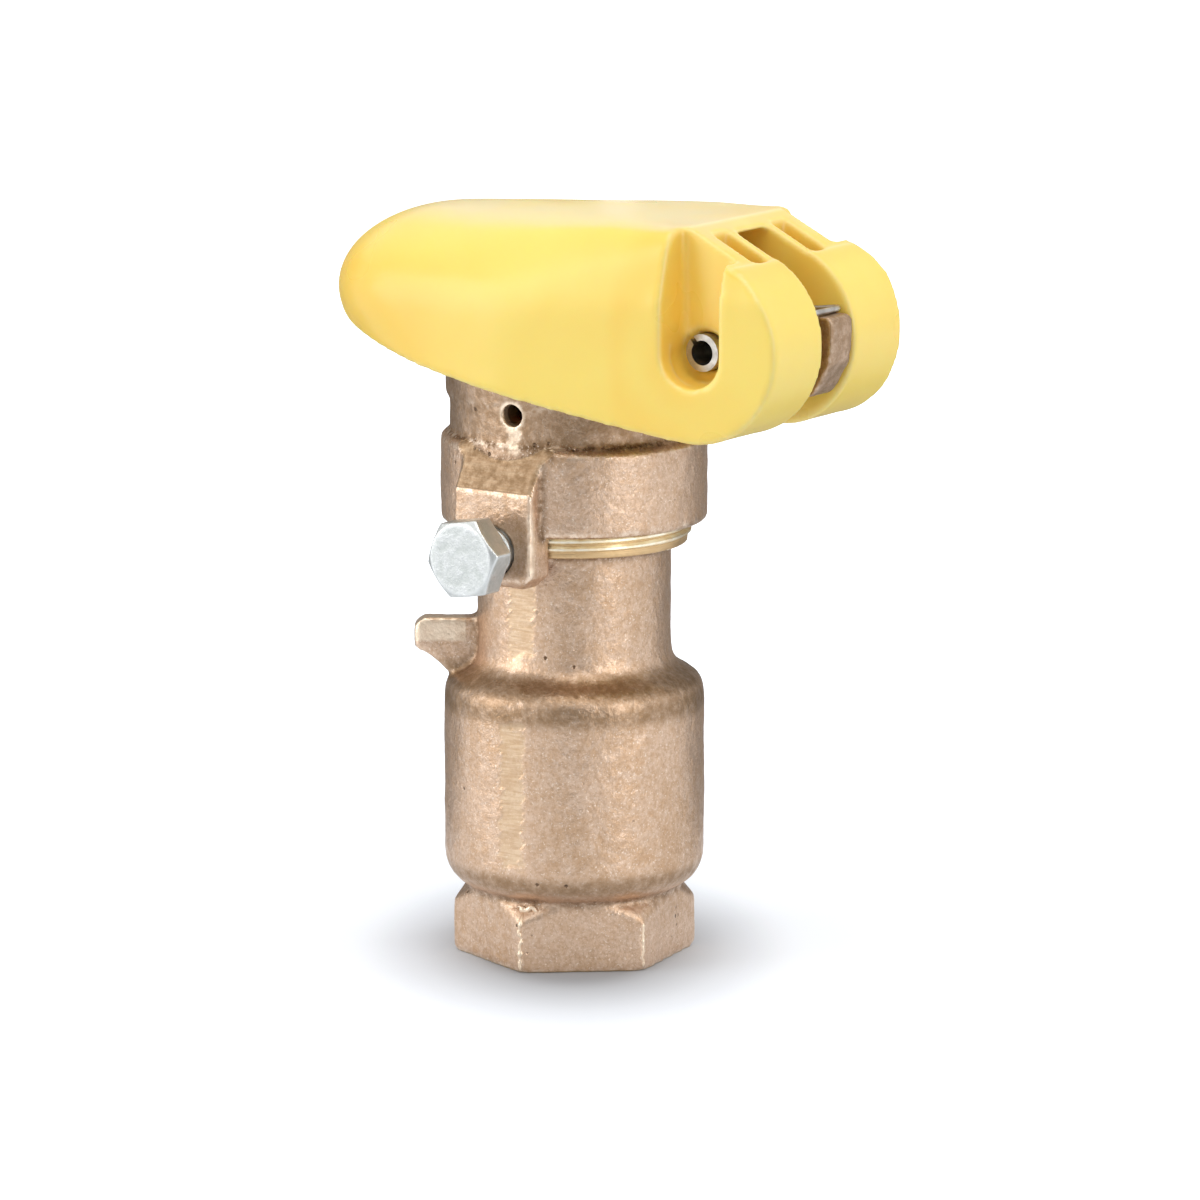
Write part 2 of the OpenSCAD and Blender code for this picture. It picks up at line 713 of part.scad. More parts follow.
module hinge_pin() {
    color(steel)
    difference() {
        cross_pin(pin_x, pin_z, pin_d / 2, pin_len);
        cross_pin(pin_x, pin_z, pin_d / 2 - pin_wall, pin_len + 2);
        translate([pin_x, 0, pin_z])
            rotate([0, 50, 0])
                translate([-pin_d, -pin_len, -pin_slit / 2])
                    cube([pin_d, 2 * pin_len, pin_slit]);
    }
}

// The cover spring's path: a free end, a coil, an arm, the bridge, and back the same way
function coil_point(a, y) = [pin_x + cover_coil_r * cos(a), y, pin_z + cover_coil_r * sin(a)];
function spring_half() =
    let (outer = slot_y1 - cover_wire_d / 2 - 0.4,
         inner = slot_y0 + cover_wire_d / 2 + 0.2,
         arm_y = (arm_w / 2 + gap_half) / 2,
         turns = cover_coil_turns,
         steps = 20 * turns,
         a0 = -90,
         a1 = a0 - 360 * turns,
         bridge_z = pin_z + arm_top + cover_wire_d / 2)
    concat(
        [[pin_x + spring_leg - 2.2, outer, pin_z - cover_coil_r],
         [pin_x + 1.5, outer, pin_z - cover_coil_r]],
        [for (i = [0 : steps])
            coil_point(a0 + (a1 - a0) * i / steps, outer + (inner - outer) * i / steps)],
        [[pin_x + 0.9, inner - 0.8, pin_z + cover_coil_r],
         [pin_x + 1.8, inner - 2.1, pin_z + cover_coil_r],
         [pin_x + 2.8, arm_y + 0.5, pin_z + cover_coil_r],
         [pin_x + 4.4, arm_y, pin_z + cover_coil_r + 0.1],
         [pin_x + bridge_back - 1.2, arm_y, bridge_z - 0.1],
         [pin_x + bridge_back - 0.3, arm_y - 0.3, bridge_z],
         [pin_x + bridge_back, arm_y - 1.2, bridge_z]]);

module cover_spring() {
    half = spring_half();
    n = len(half);
    other = [for (i = [n - 1 : -1 : 0]) [half[i][0], -half[i][1], half[i][2]]];
    color(steel)
    sweep(concat(half, other), cover_wire_d / 2, 8, [0, 1, 0]);
}

module key_seal() {
    color(rubber)
    translate([0, 0, seal_z])
        rotate_extrude()
            polygon([[seal_bore, 1], [seal_bore + 0.6, 0], [seal_bore + 1.3, 0],
                     [seal_bore + 1.5, seal_slit], [seal_r - 1.3, seal_slit],
                     [seal_r - 1.1, 0], [seal_r, 0], [seal_r, seal_h],
                     [seal_bore + 0.8, seal_h], [seal_bore + 0.8, seal_slit + 1]]);
}

module seal_washer() {
    color(brass)
    translate([0, 0, washer_z])
        difference() {
            cylinder(r = seal_r, h = seal_washer_t);
            translate([0, 0, -past])
                cylinder(r = key_tube_way + 0.5, h = seal_washer_t + 2 * past);
        }
}

module body_o_ring() {
    color(rubber)
    translate([0, 0, head_top + o_ring_d / 2])
        rotate_extrude()
            translate([o_ring_r, 0])
                circle(d = o_ring_d, $fn = 24);
}

module poppet() {
    color(brass)
    union() {
        rotate_extrude()
            polygon([[0, plate_low - stem_len], [stem_r - 0.8, plate_low - stem_len],
                     [stem_r, plate_low - stem_len + 0.8], [stem_r, plate_low - 2.4],
                     [stem_r + 2.4, plate_low], [poppet_r - 0.6, plate_low],
                     [poppet_r, plate_low + 0.6], [poppet_r, washer_low + poppet_rim_h],
                     [poppet_r - poppet_rim, washer_low + poppet_rim_h],
                     [poppet_r - poppet_rim, washer_low], [stem_r - 0.6, washer_low],
                     [stem_r - 0.6, nut_low + disc_nut_h - 0.6], [0, nut_low + disc_nut_h - 0.6]]);
    }
}

module disc_washer() {
    color(rubber)
    translate([0, 0, washer_low])
        difference() {
            cylinder(r = poppet_r - poppet_rim - 0.05, h = washer_t);
            translate([0, 0, -past])
                cylinder(r = stem_r - 0.5, h = washer_t + 2 * past);
        }
}

module disc_plate() {
    color(brass)
    translate([0, 0, seat_z])
        difference() {
            union() {
                cylinder(r = plate_r, h = plate_t - 0.5);
                translate([0, 0, plate_t - 0.5])
                    cylinder(r1 = plate_r, r2 = plate_r - 0.5, h = 0.5);
            }
            translate([0, 0, -past])
                cylinder(r = stem_r - 0.5, h = plate_t + 2 * past);
        }
}

module disc_nut() {
    corner_r = disc_nut_af / sqrt(3);
    dome_h = 3;
    color(brass)
    translate([0, 0, nut_low])
        difference() {
            union() {
                intersection() {
                    cylinder(r = corner_r, h = disc_nut_h, $fn = 6);
                    rotate_extrude()
                        polygon([[0, 0], [corner_r - 0.7, 0], [corner_r, 0.6],
                                 [corner_r, disc_nut_h - 0.6], [corner_r - 0.7, disc_nut_h],
                                 [0, disc_nut_h]]);
                }
                translate([0, 0, disc_nut_h])
                    rotate_extrude()
                        polygon(concat([[0, 0]],
                            [for (a = [0 : 15 : 90])
                                [(disc_nut_af / 2 - 0.6) * cos(a), dome_h * sin(a)]]));
            }
            translate([0, 0, -past])
                cylinder(r = stem_r - 0.55, h = disc_nut_h + past - 0.5);
        }
}

module valve_spring() {
    low = guide_top + valve_wire_d / 2;
    high = plate_low - valve_wire_d / 2;
    steps = 22 * valve_turns;
    closed = 0.9;
    rise = [for (i = [0 : steps])
        let (t = i / steps * valve_turns)
        (t < closed ? 0 : t > valve_turns - closed ? 1 : (t - closed) / (valve_turns - 2 * closed))];
    path = [for (i = [0 : steps])
        let (a = 360 * valve_turns * i / steps)
        [valve_coil_r * cos(a), valve_coil_r * sin(a),
         low + 0.06 * i / steps + (high - low - 2.2 * valve_wire_d) * rise[i]
         + 1.07 * valve_wire_d * (min(1, i / steps * valve_turns / closed)
         + max(0, (i / steps * valve_turns - valve_turns + closed) / closed))]];
    color(steel)
    sweep(path, valve_wire_d / 2, 8, [0, 0, 1]);
}

module spring_guide() {
    hub_out = stem_r + slide_fit + guide_hub_wall;
    color(brass)
    difference() {
        union() {
            translate([0, 0, guide_z])
                difference() {
                    cylinder(r = guide_r, h = guide_t);
                    translate([0, 0, -past])
                        cylinder(r = guide_r - guide_rim, h = guide_t + 2 * past);
                }
            translate([0, 0, guide_z])
                cylinder(r = hub_out, h = guide_t);
            for (i = [0 : guide_arms - 1])
                rotate([0, 0, 360 * i / guide_arms])
                    translate([stem_r + 1, -guide_arm_w / 2, guide_z])
                        cube([guide_r - stem_r - 2, guide_arm_w, guide_t]);
        }
        translate([0, 0, guide_z - past])
            cylinder(r = stem_r + slide_fit / 2, h = guide_t + 2 * past);
    }
}

module snap_ring() {
    out_r = inlet_r + snap_deep - 0.15;
    color(steel)
    translate([0, 0, snap_z + 0.05])
        difference() {
            cylinder(r = out_r, h = snap_t - 0.1);
            translate([0, 0, -past])
                cylinder(r = out_r - 2.4, h = snap_t + 2 * past);
            translate([0, -2.5, -past])
                cube([out_r + past, 5, snap_t + 2 * past]);
        }
}

lower_body();
upper_body();
lock_bolt();
cover();
hinge_pin();
cover_spring();
key_seal();
seal_washer();
body_o_ring();
poppet();
disc_washer();
disc_plate();
disc_nut();
valve_spring();
spring_guide();
snap_ring();
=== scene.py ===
"""The looks of a quick coupling valve, built round its fixed CAD frame.

Cast bronze bodies, turned brass, plated steel, rubber seals and a yellow moulded cover.
Sizes are in millimetres and are turned into metres by MM where a mesh is made.
Directions round the valve are in degrees from -Y towards +X.
"""

import math

import bmesh
import bpy
import numpy as np
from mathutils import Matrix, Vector, kdtree, noise


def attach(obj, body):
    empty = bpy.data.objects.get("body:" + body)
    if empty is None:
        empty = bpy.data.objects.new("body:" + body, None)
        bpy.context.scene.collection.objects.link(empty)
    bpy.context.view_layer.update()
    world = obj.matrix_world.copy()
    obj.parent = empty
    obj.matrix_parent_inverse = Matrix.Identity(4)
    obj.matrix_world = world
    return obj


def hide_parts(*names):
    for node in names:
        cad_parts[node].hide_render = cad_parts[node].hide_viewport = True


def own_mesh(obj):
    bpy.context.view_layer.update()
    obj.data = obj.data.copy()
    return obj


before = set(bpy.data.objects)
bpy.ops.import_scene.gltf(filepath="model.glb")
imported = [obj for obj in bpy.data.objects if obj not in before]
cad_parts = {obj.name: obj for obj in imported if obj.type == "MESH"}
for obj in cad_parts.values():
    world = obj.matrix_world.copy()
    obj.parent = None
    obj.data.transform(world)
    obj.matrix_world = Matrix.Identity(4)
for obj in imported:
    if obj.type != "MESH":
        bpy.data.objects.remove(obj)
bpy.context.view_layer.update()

MM = 0.001

# The camera, as fitted to the photograph
PHOTO_PX = 1200
FOCAL_PX = 6512.46
SENSOR_MM = 36
VIEW_AZIMUTH = math.radians(34.5)
CAMERA_OUT = 1240
CAMERA_HEIGHT = 312.59
AIM_HEIGHT = 75
AIM_PX = (574.32, 570.78)

# Levels and radii of the lower body that its finish follows
HEX_AF = 41.3
HEX_TOP = 10
INLET_R = 15.1
INLET_THREAD = (1.9, 16.9)
INLET_TOP = 19.5
SEAT_Z = 52
KEY_WAY_R = 17.8
BULB_R = 25.3
BULB_LOW = 21
BULB_HIGH = 51
NECK_R = 18.8
NECK_LOW = 61
HEAD_R = 22.7
HEAD_LOW = 81.3

# Levels and radii of the upper body
COLLAR_LOW = 85.7
KEY_TRACK_R = 21.6
RING_R = 24
RING_LOW = 103
RING_TOP = 121
LIP_R = 24.8
LIP_LOW = 110.3
BOSS_EDGE_X = 8.7
BOSS_EDGE_Z = 94.5
BOSS_FACE = -26.3
SLOPE_HALF = 10.6

# The hole that drains the space under the cover
DRAIN_DIRECTION = 5
DRAIN_Z = 109
DRAIN_R = 2.2

# The cover
COVER_TOP = 146.9
EARS_X = 24

# Where the bolt's thread shows, between the boss and the head
BOLT_Z = 83.1
BOLT_HEAD_Y = -32.1
BOLT_R = 4.75
BOLT_PITCH = 1.6

# The bands that were ground along the mould's parting line, and the streak below the drain hole
BULB_BAND = {"middle": 6.1, "half_deg": 5.6}
NECK_BAND = {"middle": 1.5, "half_deg": 9.1}
DRAIN_STREAK = {"middle": 6.2, "half_deg": 3.2}

# Bands of brown stain on the lower body: level, half height and strength
STAIN_BANDS = ((55.6, 3.6, 1.0), (51.2, 3.6, 0.9), (17.6, 2.6, 0.8))

# Mould flash on two of the hexagon's corners: direction, levels, width and seed
CORNER_FLASH = {"corner_flash_a": (8.0, 0.4, 11.4, 0.95, 11),
                "corner_flash_b": (68.6, 0.8, 9.6, 0.7, 23)}

# The lumps of flash above the first corner
LUMPS = 15
LUMPS_FROM = 3.6
LUMPS_SPAN = 13.2
LUMPS_R = 21.6
LUMPS_Z = 12.4

# The screwed joint's thread and the inlet's thread
JOINT_PITCH = 1.5
INLET_PITCH = 2.2

# Relief of each skin, as layers of depth, grain and seed
LOWER_RELIEF = ((0.13, 6.0, 1), (0.05, 1.6, 2))
UPPER_RELIEF = ((0.10, 5.0, 3), (0.045, 1.5, 4))
COVER_RELIEF = ((0.05, 14.0, 5),)

# An edge is sharp from this angle on; wear, the darkening along creases, and the cover's painted shade
# in its recesses reach this far from it
SHARP_DEG = 24
WEAR_REACH = 0.55
CREASE_REACH = 1.1
SHADE_REACH = (7, 1.5)

# Colours of the cast bronze
SKIN_BROWN = (0.53, 0.345, 0.21)
SKIN_PINK = (0.64, 0.45, 0.315)
SKIN_PALE = (0.68, 0.50, 0.37)
GRAIN_BROWN = (0.40, 0.235, 0.125)
# Darker brown along creases, also painted shade on the milled slope
CREASE_AND_SHADE_BROWN = (0.15, 0.085, 0.04)
# Brown stain, also painted shade on the ring and the milled slope
STAIN_AND_SHADE = (0.24, 0.145, 0.072)
PIT = (0.16, 0.10, 0.06)
WORN = (0.92, 0.76, 0.60)
# Painted glints: bright specks in the skin's colour
PAINTED_GLINT = (0.97, 0.86, 0.74)
# Pale flash and marks, also painted light on the lug's face
FLASH_AND_PAINTED_LIGHT = (0.90, 0.74, 0.56)
TURNED = ((0.52, 0.33, 0.15), (0.78, 0.57, 0.32))
GROUND = ((0.55, 0.37, 0.21), (0.75, 0.57, 0.37))

# Darker and lighter tones of the other metals and of the rubber
BRASS = ((0.86, 0.73, 0.51), (1.0, 0.94, 0.78))
SPRING_STEEL = ((0.36, 0.34, 0.31), (0.62, 0.60, 0.56))
ZINC = ((0.47, 0.49, 0.47), (0.57, 0.58, 0.57))
ZINC_EDGE = (0.80, 0.81, 0.80)
# Painted shade for the grooves of the bolt's thread
ZINC_LOW = (0.20, 0.19, 0.17)
RUBBER = ((0.018, 0.018, 0.019), (0.055, 0.055, 0.055))

# Colours of the moulded cover
YELLOW = ((0.97, 0.70, 0.14), (0.98, 0.74, 0.16))
# Painted shade in the cover's recesses and under its nose
YELLOW_SHADED = (0.98, 0.58, 0.07)
# Painted sheen on the cover's flat top
YELLOW_SHEEN = (0.80, 0.71, 0.48)
YELLOW_EDGE = (1.0, 0.88, 0.50)

# The floor near the valve and away from it, and its glow: from, to and strength; the darker colour and
# weaker glow near the valve are a painted shadow
FLOOR = ((0.37, 0.38, 0.40), (0.70, 0.73, 0.78))
FLOOR_GLOW = ((15, 21, 0.10), (26, 46, 0.27), (44, 300, 0.6))
FLOOR_GLOW_TINT = (0.96, 0.98, 1.0)
FLOOR_SEEN_IN_METAL = 0.35


# Node materials


class Nodes:
    """Short calls that add nodes to one node tree."""

    def __init__(self, tree):
        self.tree = tree
        tree.nodes.clear()

    def new(self, kind):
        return self.tree.nodes.new("ShaderNode" + kind)

    def feed(self, socket, value):
        """Links a socket to the input, or sets the input to a constant."""
        if isinstance(value, bpy.types.NodeSocket):
            self.tree.links.new(value, socket)
        elif isinstance(value, (tuple, list)) and len(value) == 3 and socket.type == "RGBA":
            socket.default_value = (*value, 1)
        else:
            socket.default_value = value

    def math(self, operation, a, b=0.0, clamp=False):
        node = self.new("Math")
        node.operation = operation
        node.use_clamp = clamp
        self.feed(node.inputs[0], a)
        self.feed(node.inputs[1], b)
        return node.outputs[0]

    def times(self, a, b):
        return self.math("MULTIPLY", a, b)

    def between(self, value, low, high):
        """A value from 0 to 1, as a number from low to high."""
        return self.math("ADD", self.times(value, high - low), low)

    def step(self, value, low, high):
        """A smooth step from 0 at low to 1 at high, or the other way round."""
        node = self.new("MapRange")
        node.interpolation_type = "SMOOTHSTEP"
        self.feed(node.inputs["Value"], value)
        if low < high:
            ends = (low, high, 0.0, 1.0)
        else:
            ends = (high, low, 1.0, 0.0)
        for name, end in zip(("From Min", "From Max", "To Min", "To Max"), ends):
            node.inputs[name].default_value = end
        return node.outputs[0]

    def seen(self, path, *rays):
        """1 for the named kinds of ray, 0 for the rest."""
        first, *others = (path.outputs[f"Is {ray} Ray"] for ray in rays)
        for other in others:
            first = self.math("MAXIMUM", first, other)
        return first


class Finish(Nodes):
    """A node material under construction."""

    def __init__(self, name):
        self.material = bpy.data.materials.new(name)
        self.material.use_nodes = True
        super().__init__(self.material.node_tree)
        self.shader = self.new("BsdfPrincipled")
        self.out = self.new("OutputMaterial")
        self.feed(self.out.inputs["Surface"], self.shader.outputs[0])
        self.place = self.vector("SCALE", self.new("TexCoord").outputs["Object"], scale=1 / MM)

    def set(self, **values):
        """Sets the shader's inputs; an underscore stands for a space."""
        for name, value in values.items():
            self.feed(self.shader.inputs[name.replace("_", " ")], value)
        return self

    def vector(self, operation, a, b=None, scale=None):
        node = self.new("VectorMath")
        node.operation = operation
        self.feed(node.inputs[0], a)
        if b is not None:
            self.feed(node.inputs[1], b)
        if scale is not None:
            self.feed(node.inputs["Scale"], scale)
        return node.outputs["Value" if operation == "LENGTH" else "Vector"]

    def stretched(self, x, y, z):
        """The place in millimetres, multiplied along each axis."""
        return self.vector("MULTIPLY", self.place, (x, y, z))

    def noise(self, per_mm, detail=2.0, roughness=0.5, place=None):
        node = self.new("TexNoise")
        self.feed(node.inputs["Vector"], place or self.place)
        self.feed(node.inputs["Scale"], per_mm)
        self.feed(node.inputs["Detail"], detail)
        self.feed(node.inputs["Roughness"], roughness)
        return node.outputs[0]

    def cells(self, per_mm):
        """Distance from the middles of scattered cells."""
        node = self.new("TexVoronoi")
        self.feed(node.inputs["Vector"], self.place)
        self.feed(node.inputs["Scale"], per_mm)
        return node.outputs["Distance"]

    def mix(self, share, a, b):
        node = self.new("Mix")
        node.data_type = "RGBA"
        self.feed(node.inputs[0], share)
        self.feed(node.inputs[6], a)
        self.feed(node.inputs[7], b)
        return node.outputs[2]

    def mask(self, name):
        """A value that a skin stores at its points."""
        node = self.new("Attribute")
        node.attribute_name = name
        return node.outputs["Fac"]

    def bump(self, height, depth_mm, under=None):
        node = self.new("Bump")
        self.feed(node.inputs["Height"], height)
        self.feed(node.inputs["Distance"], depth_mm * MM)
        self.feed(node.inputs["Strength"], 1.0)
        if under is not None:
            self.feed(node.inputs["Normal"], under)
        return node.outputs[0]


def cast_skin(look, mottle, grain):
    """The cast skin with painted glints, and the share of its darkening along creases, which on the
    milled slope is painted shade, and of wear on its ridges.
    """
    # Painted glints: scattered bright specks
    painted_glint = look.step(look.noise(2.6, 1, 0.5), 0.62, 0.74)
    tone = look.mix(look.step(look.noise(0.06, 3, 0.6), 0.35, 0.68), SKIN_BROWN, SKIN_PINK)
    tone = look.mix(look.step(mottle, 0.3, 0.75), tone, SKIN_PALE)
    tone = look.mix(look.times(look.step(grain, 0.58, 0.36), 0.4), tone, GRAIN_BROWN)
    crease_and_shade = look.times(look.mask("crease"), look.between(look.step(mottle, 0.35, 0.65), 0.95, 0.45))
    tone = look.mix(crease_and_shade, tone, CREASE_AND_SHADE_BROWN)
    worn = look.times(look.mask("ridge"), look.step(mottle, 0.42, 0.62))
    tone = look.mix(look.times(worn, 0.6), tone, WORN)
    return look.mix(look.times(painted_glint, 0.45), tone, PAINTED_GLINT), crease_and_shade, worn


def marked(look, mottle, tone, pits):
    """Stains and painted shade, pale flash and painted light, and pits over a tone."""
    brown = look.times(look.mask("stain"), look.between(look.step(mottle, 0.3, 0.7), 0.95, 0.5))
    tone = look.mix(brown, tone, STAIN_AND_SHADE)
    pale = look.times(look.mask("bright"), look.between(look.step(mottle, 0.3, 0.6), 0.5, 0.9))
    tone = look.mix(pale, tone, FLASH_AND_PAINTED_LIGHT)
    return look.mix(pits, tone, PIT)


def cast_bronze():
    """Sand-cast bronze: grainy with painted glints, worn bright on ridges, darker in creases and
    browner at the necks, with painted shade on the ring and the milled slope and painted light on the
    lug.
    """
    look = Finish("cast_bronze")
    cut = look.mask("machined")
    ground = look.mask("ground")
    mottle = look.noise(0.5, 4, 0.65)
    grain = look.noise(1.5, 3, 0.65)
    scarce = look.step(look.noise(0.11, 0, 0.5), 0.64, 0.70)
    pits = look.times(look.step(look.cells(0.33), 0.16, 0.07), scarce)

    # Turned faces show rings, and ground flats show short lines across
    rings = look.noise(1.0, 2, 0.6, look.stretched(0.04, 0.04, 6.0))
    lines = look.noise(1.0, 3, 0.6, look.stretched(0.22, 0.22, 2.0))
    tone, crease_and_shade, worn = cast_skin(look, mottle, grain)
    tone = look.mix(look.times(ground, 0.6), tone, look.mix(look.step(lines, 0.34, 0.66), *GROUND))
    tone = look.mix(cut, tone, look.mix(rings, *TURNED))
    tone = marked(look, mottle, tone, pits)

    dull = look.between(look.step(mottle, 0.3, 0.7), 0.42, 0.32)
    dull = look.math("SUBTRACT", dull, look.times(worn, 0.06))
    dull = look.math("ADD", dull, look.times(crease_and_shade, 0.2))
    rough = look.times(look.math("SUBTRACT", 1.0, cut, True), look.math("SUBTRACT", 1.0, ground, True))
    normal = look.bump(look.times(look.noise(0.7, 4, 0.65), rough), 0.17)
    normal = look.bump(look.times(grain, rough), 0.07, normal)
    normal = look.bump(look.times(lines, ground), 0.04, normal)
    normal = look.bump(look.times(rings, cut), 0.05, normal)
    normal = look.bump(look.math("SUBTRACT", 1.0, pits), 0.2, normal)
    return look.set(Base_Color=tone, Metallic=0.82, Roughness=dull, Normal=normal).material


def turned_metal(name, dark, light, roughness, rings_per_mm=5.0):
    """Turned or drawn metal with fine rings and a little tarnish."""
    look = Finish(name)
    rings = look.noise(1.0, 2, 0.6, look.stretched(0.05, 0.05, rings_per_mm))
    stain = look.noise(0.35, 3, 0.6)
    tone = look.mix(look.step(stain, 0.35, 0.7), dark, light)
    tone = look.mix(look.times(rings, 0.25), tone, dark)
    gloss = look.between(look.step(stain, 0.3, 0.7), roughness + 0.08, roughness - 0.06)
    normal = look.bump(rings, 0.03)
    return look.set(Base_Color=tone, Metallic=1.0, Roughness=gloss, Normal=normal).material


def plated_steel():
    """Zinc-plated steel: silvery, faintly cloudy, with a rolled thread on the shank."""
    look = Finish("plated_steel")
    cloud = look.noise(0.5, 4, 0.6)
    fine = look.noise(3.5, 3, 0.7)
    tone = look.mix(look.step(cloud, 0.35, 0.7), *ZINC)
    tone = look.mix(look.times(look.mask("ridge"), 0.5), tone, ZINC_EDGE)
    # Painted shade in the thread's grooves
    tone = look.mix(look.times(look.mask("thread_low"), 0.5), tone, ZINC_LOW)
    gloss = look.between(look.step(cloud, 0.3, 0.7), 0.46, 0.34)
    normal = look.bump(cloud, 0.12)
    normal = look.bump(fine, 0.04, normal)
    return look.set(Base_Color=tone, Metallic=0.95, Roughness=gloss, Normal=normal).material


def yellow_plastic():
    """A half-gloss yellow moulding that light goes a little way into."""
    look = Finish("yellow_plastic")
    drift = look.noise(0.035, 2, 0.5)
    orange_peel = look.noise(1.1, 2, 0.5)
    fine = look.noise(6.0, 2, 0.6)
    tone = look.mix(look.step(drift, 0.3, 0.7), *YELLOW)
    # Painted shade in recesses and under the nose
    tone = look.mix(look.times(look.mask("deep"), 0.5), tone, YELLOW_SHADED)
    # Painted sheen on the flat top
    tone = look.mix(look.times(look.mask("chalky"), 0.55), tone, YELLOW_SHEEN)
    tone = look.mix(look.times(look.mask("ridge"), 0.35), tone, YELLOW_EDGE)
    gloss = look.between(look.step(drift, 0.3, 0.7), 0.27, 0.33)
    normal = look.bump(orange_peel, 0.012)
    normal = look.bump(fine, 0.004, normal)
    look.set(Base_Color=tone, Roughness=gloss, Normal=normal, IOR=1.5)
    look.set(Subsurface_Weight=0.25, Subsurface_Radius=(1.0, 0.55, 0.12), Subsurface_Scale=0.003)
    return look.material


def black_rubber():
    """Moulded rubber with a matt, slightly greyed skin."""
    look = Finish("black_rubber")
    bloom = look.noise(0.8, 4, 0.6)
    tone = look.mix(look.step(bloom, 0.4, 0.75), *RUBBER)
    gloss = look.between(bloom, 0.5, 0.75)
    normal = look.bump(look.noise(4.0, 2, 0.5), 0.02)
    return look.set(Base_Color=tone, Roughness=gloss, Normal=normal).material


# Values over a mesh's points


def smoothstep(value, low, high):
    """A smooth step from 0 at low to 1 at high, where low may be the larger."""
    share = np.clip((value - low) / (high - low), 0, 1)
    return share * share * (3 - 2 * share)


def hump(value, middle, half):
    """1 at the middle, falling smoothly to 0 at half to either side."""
    return smoothstep(np.abs(value - middle), half, 0.2 * half)


def relief(points, grain_mm, seed):
    """Smooth noise about 0 at each point, in octaves, of the given grain."""
    shift = Vector((seed * 7.3, seed * 3.1, seed * 5.7))
    return np.array([noise.fractal(Vector(point) / grain_mm + shift, 0.9, 2.1, 3) for point in points])


def layered(points, layers):
    """The sum of several layers of relief."""
    return sum(depth * relief(points, grain_mm, seed) for depth, grain_mm, seed in layers)


def around(points):
    """Radius from the valve's axis, and direction round it."""
    return np.hypot(points[:, 0], points[:, 1]), np.degrees(np.arctan2(points[:, 0], -points[:, 1]))


def heading(direction):
    """The level vector that points in a direction round the valve."""
    angle = math.radians(direction)
    return np.array([math.sin(angle), -math.cos(angle), 0])


def strip(points, middle, half_deg, low, high):
    """1 on a ragged band that runs up a round wall, 0 off it."""
    _, direction = around(points)
    drift = relief(points * [1, 1, 2.2], 2.4, 7) * 2.2 + relief(points, 9.0, 8)
    off = np.abs((direction - middle + 180) % 360 - 180) + drift
    return (smoothstep(off, half_deg + 1.0, half_deg - 1.0)
            * smoothstep(points[:, 2] + drift, low - 1.2, low + 0.6)
            * smoothstep(points[:, 2] + drift, high + 1.2, high - 0.6))


def ground_flat(points, share, radius, middle, half_deg):
    """Cuts the wall back to a flat across the band."""
    way = heading(middle)
    reach = points @ way
    limit = radius * math.cos(math.radians(half_deg))
    return points - np.outer(share * np.maximum(reach - limit, 0), way)


# Meshes


def store(mesh, name, values):
    """Keeps a value at each point, for the material to read."""
    layer = mesh.attributes.new(name, "FLOAT", "POINT")
    layer.data.foreach_set("value", np.clip(values, 0, 1).astype(np.float32))


def shade_smooth(mesh):
    """Shades every face of the mesh smooth."""
    mesh.polygons.foreach_set("use_smooth", np.ones(len(mesh.polygons), dtype=bool))


def own_object(name, mesh, material, body):
    """A new piece in the row frame, with its finish, that rides on a body."""
    piece = bpy.data.objects.new(name, mesh)
    bpy.context.scene.collection.objects.link(piece)
    mesh.materials.clear()
    mesh.materials.append(material)
    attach(piece, body)
    return piece


def remeshed(mesh, voxel_mm):
    """The same form as an even mesh of small quads."""
    holder = bpy.data.objects.new("holder", mesh)
    bpy.context.scene.collection.objects.link(holder)
    remesh = holder.modifiers.new("even", "REMESH")
    remesh.mode = "VOXEL"
    remesh.voxel_size = voxel_mm * MM
    graph = bpy.context.evaluated_depsgraph_get()
    even = bpy.data.meshes.new_from_object(holder.evaluated_get(graph))
    bpy.data.objects.remove(holder)
    return even


def sharp_edges(mesh, least_angle, gap_mm=0.35):
    """Two trees of points, along the mesh's sharp ridges and along its sharp creases."""
    bm = bmesh.new()
    bm.from_mesh(mesh)
    bmesh.ops.remove_doubles(bm, verts=bm.verts, dist=2e-6)
    points = {True: [], False: []}
    for edge in bm.edges:
        if len(edge.link_faces) != 2 or edge.calc_face_angle(0) < least_angle:
            continue
        a, b = (v.co for v in edge.verts)
        count = max(1, int((b - a).length / (gap_mm * MM)))
        side = points[edge.is_convex]
        side.extend(a.lerp(b, (i + 0.5) / count) for i in range(count))
    bm.free()
    trees = []
    for side in (points[True], points[False]):
        tree = kdtree.KDTree(max(1, len(side)))
        for i, point in enumerate(side):
            tree.insert(point, i)
        if not side:
            tree.insert(Vector((9, 9, 9)), 0)
        tree.balance()
        trees.append(tree)
    return trees


def distances(tree, points):
    """Distance in millimetres from each point to the tree."""
    return np.array([tree.find(point)[2] for point in points]) / MM


def relaxed(points, pairs, weight, rounds):
    """Moves each point towards the middle of its neighbours, by its own weight."""
    ends = np.bincount(pairs.ravel(), minlength=len(points))[:, None]
    for _ in range(rounds):
        total = np.zeros_like(points)
        for axis in range(3):
            total[:, axis] = (np.bincount(pairs[:, 0], points[pairs[:, 1], axis], len(points))
                              + np.bincount(pairs[:, 1], points[pairs[:, 0], axis], len(points)))
        points = points + weight[:, None] * (total / ends - points)
    return points


def numbers(collection, field, width, kind=float):
    """A field of each item of a mesh collection, as rows."""
    out = np.zeros(len(collection) * width, dtype=kind)
    collection.foreach_get(field, out)
    return out.reshape(-1, width)


